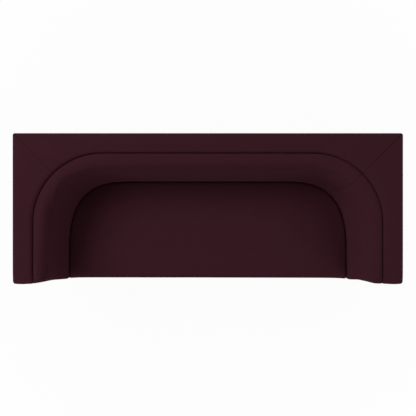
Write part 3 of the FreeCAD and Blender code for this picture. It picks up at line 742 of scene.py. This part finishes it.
def weave_group():
    """Threads that cross over and under, seen square on from any side, their colour darkened by painted shade
    where they dip under.
    """
    tree, given, out = new_group(
        "crossed_threads",
        [("Colour", "c", (0.1, 0.1, 0.1, 1)), ("Thread width", "f", 0.0015), ("Depth", "f", 0.3)],
        [("Colour", "c"), ("Height", "f")])
    place = node(tree, "ShaderNodeTexCoord").outputs["Object"]
    axes = node(tree, "ShaderNodeSeparateXYZ", {0: place}).outputs
    per = sums(tree, "DIVIDE", math.pi, given["Thread width"])
    wave = [sums(tree, "SINE", sums(tree, "MULTIPLY", axes[i], per), 0.0) for i in range(3)]
    cross = sums(tree, "MULTIPLY", wave[0], wave[1])
    cross = sums(tree, "MULTIPLY_ADD", wave[2], 0.5, cross)
    height = sums(tree, "MULTIPLY_ADD", cross, 0.33, 0.5)
    # Painted shade: the colour darkens where the threads dip under each other
    tone = sums(tree, "MULTIPLY_ADD", sums(tree, "SUBTRACT", height, 0.5), given["Depth"], 1.0)
    tree.links.new(shade_of(tree, given["Colour"], tone), out["Colour"])
    tree.links.new(height, out["Height"])
    return tree


def grain_group():
    """Long grain with growth bands and pores."""
    tree, given, out = new_group(
        "wood_grain",
        [("Pale", "c", (0.6, 0.45, 0.3, 1)), ("Dark", "c", (0.4, 0.28, 0.16, 1)),
         ("Bands per metre", "f", 40.0), ("Gloss", "f", 0.5)],
        [("Colour", "c"), ("Roughness", "f"), ("Height", "f")])
    place = node(tree, "ShaderNodeTexCoord").outputs["Object"]
    laid = node(tree, "ShaderNodeMapping", {"Vector": place, "Scale": (0.06, 1.0, 1.0)}).outputs[0]
    bent = noise(tree, laid, 9.0, 2.0)
    bands = node(tree, "ShaderNodeTexNoise", {"Vector": laid, "Scale": given["Bands per metre"],
                                              "Detail": 4.0, "Distortion": 0.6}).outputs["Fac"]
    pores = noise(tree, laid, 700.0, 2.0)
    mask = sums(tree, "MULTIPLY_ADD", bands, 0.7, sums(tree, "MULTIPLY", bent, 0.3))
    mask = sums(tree, "MULTIPLY_ADD", sums(tree, "SUBTRACT", pores, 0.5), 0.35, mask)
    tree.links.new(blended(tree, mask, given["Pale"], given["Dark"]), out["Colour"])
    tree.links.new(sums(tree, "MULTIPLY_ADD", pores, 0.25, given["Gloss"]), out["Roughness"])
    tree.links.new(sums(tree, "MULTIPLY_ADD", pores, 0.5, bands), out["Height"])
    return tree


def dust_group():
    """Pale dust and scuffs near the floor."""
    tree, given, out = new_group(
        "floor_dust",
        [("Colour", "c", (0.1, 0.1, 0.1, 1)), ("Dust", "c", (0.35, 0.33, 0.3, 1)), ("Amount", "f", 0.25)],
        [("Colour", "c"), ("Mask", "f")])
    place = node(tree, "ShaderNodeTexCoord").outputs["Object"]
    height = node(tree, "ShaderNodeSeparateXYZ", {0: place}).outputs[2]
    low = ranged(tree, height, 0.0, 0.06, 1.0, 0.0)
    patchy = ranged(tree, noise(tree, place, 60.0, 5.0, 0.65), 0.35, 0.75)
    mask = sums(tree, "MULTIPLY", sums(tree, "MULTIPLY", low, patchy), given["Amount"])
    tree.links.new(blended(tree, mask, given["Colour"], given["Dust"]), out["Colour"])
    tree.links.new(mask, out["Mask"])
    return tree


FIBRES, THREADS, GRAIN, DUST = fibre_group(), weave_group(), grain_group(), dust_group()


def linear(red, green, blue):
    """A screen colour from 0 to 255 as the shader's own numbers."""
    def one(v):
        v /= 255
        return v / 12.92 if v <= 0.04045 else ((v + 0.055) / 1.055) ** 2.4
    return one(red), one(green), one(blue), 1.0


def new_material(name, **sockets):
    material = bpy.data.materials.new(name)
    material.use_nodes = True
    tree = material.node_tree
    shader = tree.nodes["Principled BSDF"]
    for key, value in sockets.items():
        shader.inputs[key.replace("_", " ")].default_value = value
    return material, tree, shader.inputs


def placed(tree, group, inputs):
    return node(tree, "ShaderNodeGroup", inputs, node_tree=group).outputs


def bumped(tree, shader, height, distance, strength):
    bump = node(tree, "ShaderNodeBump", {"Height": height, "Distance": distance, "Strength": strength})
    tree.links.new(bump.outputs[0], shader["Normal"])


def woollen(name, colour):
    """Matte felted wool: fibres over a faint weave."""
    material, tree, shader = new_material(name, Sheen_Weight=0.05, Sheen_Roughness=0.45,
                                          Sheen_Tint=(0.75, 0.32, 0.42, 1), Specular_IOR_Level=0.02)
    # The weave adds painted shade to the wool between its threads
    cloth = placed(tree, THREADS, {"Colour": colour, "Thread width": 0.0011, "Depth": 0.10})
    wool = placed(tree, FIBRES, {"Colour": cloth["Colour"], "Fibres per metre": 1400.0, "Fuzz": 0.5,
                                 "Mottle": 0.10})
    tree.links.new(wool["Colour"], shader["Base Color"])
    tree.links.new(wool["Roughness"], shader["Roughness"])
    bumped(tree, shader, sums(tree, "MULTIPLY_ADD", cloth["Height"], 0.25, wool["Height"]), 0.0005, 0.5)
    return material


def black_wood(name):
    material, tree, shader = new_material(name, Coat_Roughness=0.35)
    wood = placed(tree, GRAIN, {"Pale": linear(46, 44, 43), "Dark": linear(24, 23, 23), "Gloss": 0.34})
    dust = placed(tree, DUST, {"Colour": wood["Colour"], "Amount": 0.2})
    tree.links.new(dust["Colour"], shader["Base Color"])
    tree.links.new(sums(tree, "MULTIPLY_ADD", dust["Mask"], 0.6, wood["Roughness"]), shader["Roughness"])
    bumped(tree, shader, wood["Height"], 0.0003, 0.5)
    return material


def raw_wood(name, pale, dark, bands):
    material, tree, shader = new_material(name, Specular_IOR_Level=0.3)
    wood = placed(tree, GRAIN, {"Pale": pale, "Dark": dark, "Bands per metre": bands, "Gloss": 0.6})
    tree.links.new(wood["Colour"], shader["Base Color"])
    tree.links.new(wood["Roughness"], shader["Roughness"])
    bumped(tree, shader, wood["Height"], 0.0004, 0.5)
    return material


def strap_cloth(name, colour, thread, dustiness):
    material, tree, shader = new_material(name, Specular_IOR_Level=0.2, Sheen_Weight=0.1)
    # The weave adds strong painted shade to the straps between their threads
    threads = placed(tree, THREADS, {"Colour": colour, "Thread width": thread, "Depth": 0.6})
    fluff = placed(tree, FIBRES, {"Colour": threads["Colour"], "Fuzz": 0.25, "Fibres per metre": 700.0})
    dust = placed(tree, DUST, {"Colour": fluff["Colour"], "Amount": dustiness})
    tree.links.new(dust["Colour"], shader["Base Color"])
    tree.links.new(fluff["Roughness"], shader["Roughness"])
    bumped(tree, shader, threads["Height"], 0.0005, 0.7)
    return material


def moulded_nylon(name):
    material, tree, shader = new_material(name, Specular_IOR_Level=0.4)
    dust = placed(tree, DUST, {"Colour": linear(38, 38, 39), "Amount": 0.45})
    place = node(tree, "ShaderNodeTexCoord").outputs["Object"]
    skin = noise(tree, place, 1500.0, 2.0)
    tree.links.new(dust["Colour"], shader["Base Color"])
    tree.links.new(sums(tree, "MULTIPLY_ADD", skin, 0.2, 0.45), shader["Roughness"])
    bumped(tree, shader, skin, 0.0002, 0.4)
    return material


def zinc(name):
    material, tree, shader = new_material(name, Metallic=1.0)
    place = node(tree, "ShaderNodeTexCoord").outputs["Object"]
    haze = noise(tree, place, 350.0, 4.0)
    shine = sums(tree, "MULTIPLY_ADD", haze, 0.3, 0.8)
    tree.links.new(shade_of(tree, linear(196, 198, 202)[:3], shine), shader["Base Color"])
    tree.links.new(sums(tree, "MULTIPLY_ADD", haze, 0.3, 0.22), shader["Roughness"])
    bumped(tree, shader, haze, 0.0001, 0.3)
    return material


WINE = woollen("wine_wool", linear(58, 28, 36))
FINISHES = {
    "black_wood": black_wood("black_stained_beech"),
    "plywood": raw_wood("birch_plywood", linear(222, 197, 158), linear(186, 150, 106), 30.0),
    "timber": raw_wood("planed_softwood", linear(226, 190, 140), linear(176, 124, 74), 55.0),
    "webbing": strap_cloth("elastic_webbing", linear(92, 88, 84), 0.0016, 0.0),
    "dust_cloth": strap_cloth("black_lining", linear(40, 39, 40), 0.0009, 0.3),
    "nylon": moulded_nylon("moulded_nylon"),
    "steel": zinc("zinc_plate"),
}

for part in frame["record"]["subparts"]:
    finish = FINISHES.get(part["material_slot"])
    if finish:
        cad = frame["nodes"][part["node"]]
        cad.data.materials.clear()
        cad.data.materials.append(finish)


def upholstered(piece, *nodes):
    """A cloth-covered padded piece that stands for its plain solids."""
    piece.data.materials.append(WINE)
    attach(piece, "root")
    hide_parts(*nodes)


seat = seat_cushion("bench_seat")
remeshed(seat, SEAT_SKIN)
crowned(seat)
stuffed(seat, seat_sewn, SEAT_FILLING)
upholstered(seat, "seat_cover", "seat_foam")
for side, label in ((-1, "left"), (1, "right")):
    pad = arm_pad(f"{label}_arm_pad", side)
    stuffed(pad, pad_sewn, PAD_FILLING)
    upholstered(pad, f"{label}_pad_cover", f"{label}_pad_foam")
    upholstered(arm_border(f"{label}_rim_border", side), f"{label}_border")
    panel = stuffed_panel(f"{label}_side_panel", f"{label}_outside_panel", (0, side), PANEL_SWELL, PANEL_EDGE)
    upholstered(panel, f"{label}_outside_panel")
backrest = back_pad("backrest_pad")
stuffed(backrest, pad_sewn, PAD_FILLING)
upholstered(backrest, "back_pad_cover", "back_pad_foam")
upholstered(back_border("back_rim_border"), "back_border")
panel = stuffed_panel("rear_panel", "back_outside_panel", (1, 1), PANEL_SWELL, PANEL_EDGE)
upholstered(panel, "back_outside_panel")
skirt = stuffed_panel("front_skirt", "front_apron", (1, -1), SKIRT_SWELL, SKIRT_EDGE)
upholstered(skirt, "front_apron")

# The studio: places in metres, lamps as name, place, width and power
CAMERA_PLACE = (0.0009, 0.0031, 3.664)
LAMP_AIM = (0.0, 0.0, 0.5)
LAMPS = [
    ("key_lamp", (-5.46, 3.15, 5.43), 4.0, 315.0),
    ("left_lamp", (-6.33, 1.35, 5.20), 5.0, 85.0),
    ("back_right_lamp", (4.80, 4.80, 4.74), 4.0, 110.0),
    ("front_lamp", (0.0, -7.96, 1.34), 3.0, 35.0),
    ("front_right_lamp", (5.38, -5.38, 2.97), 4.0, 116.0),
    ("front_left_lamp", (-5.38, -5.38, 2.97), 4.0, 92.0),
]
WORLD_LEVEL = 0.28
FLOOR_REACH = 12.0
FLOOR_GREY = 0.55
SHADOW_START = 1.0
SHADOW_END = 2.6
FLOOR_GLOW_NEAR = 0.96


def overhead_camera(scene):
    camera = bpy.data.objects.new("camera", bpy.data.cameras.new("camera"))
    camera.location = CAMERA_PLACE
    camera.data.lens = 50
    camera.data.sensor_width = 36
    scene.collection.objects.link(camera)
    scene.camera = camera


def white_surroundings(scene):
    """White to the camera and in reflections, and a dimmer light on the sofa from all round."""
    world = bpy.data.worlds.new("white_studio")
    scene.world = world
    world.use_nodes = True
    tree = world.node_tree
    seen = node(tree, "ShaderNodeLightPath").outputs
    shown = sums(tree, "MAXIMUM", seen["Is Camera Ray"],
                 sums(tree, "MAXIMUM", seen["Is Glossy Ray"], seen["Is Transmission Ray"]))
    level = node(tree, "ShaderNodeMix", {0: shown, 2: WORLD_LEVEL, 3: 1.0}, data_type="FLOAT").outputs[0]
    sky = tree.nodes["Background"]
    sky.inputs["Color"].default_value = (1, 1, 1, 1)
    tree.links.new(level, sky.inputs["Strength"])


def soft_lamps(scene):
    """Round soft lamps, all turned to the sofa and unseen by the camera."""
    for name, place, size, power in LAMPS:
        lamp = bpy.data.lights.new(name, "AREA")
        lamp.shape = "DISK"
        lamp.size = size
        lamp.energy = power
        hung = bpy.data.objects.new(name, lamp)
        hung.location = place
        aim = np.array(LAMP_AIM) - np.array(place)
        hung.rotation_euler = (math.acos(-aim[2] / np.linalg.norm(aim)), 0.0,
                               math.atan2(aim[1], aim[0]) - math.pi / 2)
        hung.visible_camera = False
        scene.collection.objects.link(hung)


def white_floor(scene):
    """A floor that looks white to the camera and keeps a faint shadow near the sofa."""
    reach = FLOOR_REACH
    mesh = bpy.data.meshes.new("floor")
    mesh.from_pydata([(-reach, -reach, 0), (reach, -reach, 0), (reach, reach, 0), (-reach, reach, 0)], [],
                     [(0, 1, 2, 3)])
    floor = bpy.data.objects.new("floor", mesh)
    scene.collection.objects.link(floor)
    material = bpy.data.materials.new("white_floor")
    material.use_nodes = True
    tree = material.node_tree
    tree.nodes.clear()
    grey = (FLOOR_GREY, FLOOR_GREY, FLOOR_GREY, 1)
    matte = node(tree, "ShaderNodeBsdfDiffuse", {"Color": grey}).outputs[0]
    glow = node(tree, "ShaderNodeEmission", {"Color": (1, 1, 1, 1), "Strength": 1.0}).outputs[0]
    seen = node(tree, "ShaderNodeLightPath").outputs["Is Camera Ray"]
    place = node(tree, "ShaderNodeTexCoord").outputs["Object"]
    away = node(tree, "ShaderNodeVectorMath", {0: place}, operation="LENGTH").outputs["Value"]
    share = ranged(tree, away, SHADOW_START, SHADOW_END, FLOOR_GLOW_NEAR, 1.0)
    glowing = sums(tree, "MULTIPLY", seen, share)
    mix = node(tree, "ShaderNodeMixShader", {0: glowing, 1: matte, 2: glow}).outputs[0]
    node(tree, "ShaderNodeOutputMaterial", {"Surface": mix})
    floor.data.materials.append(material)


studio = bpy.context.scene
studio.view_settings.view_transform = "Standard"
overhead_camera(studio)
white_surroundings(studio)
soft_lamps(studio)
white_floor(studio)
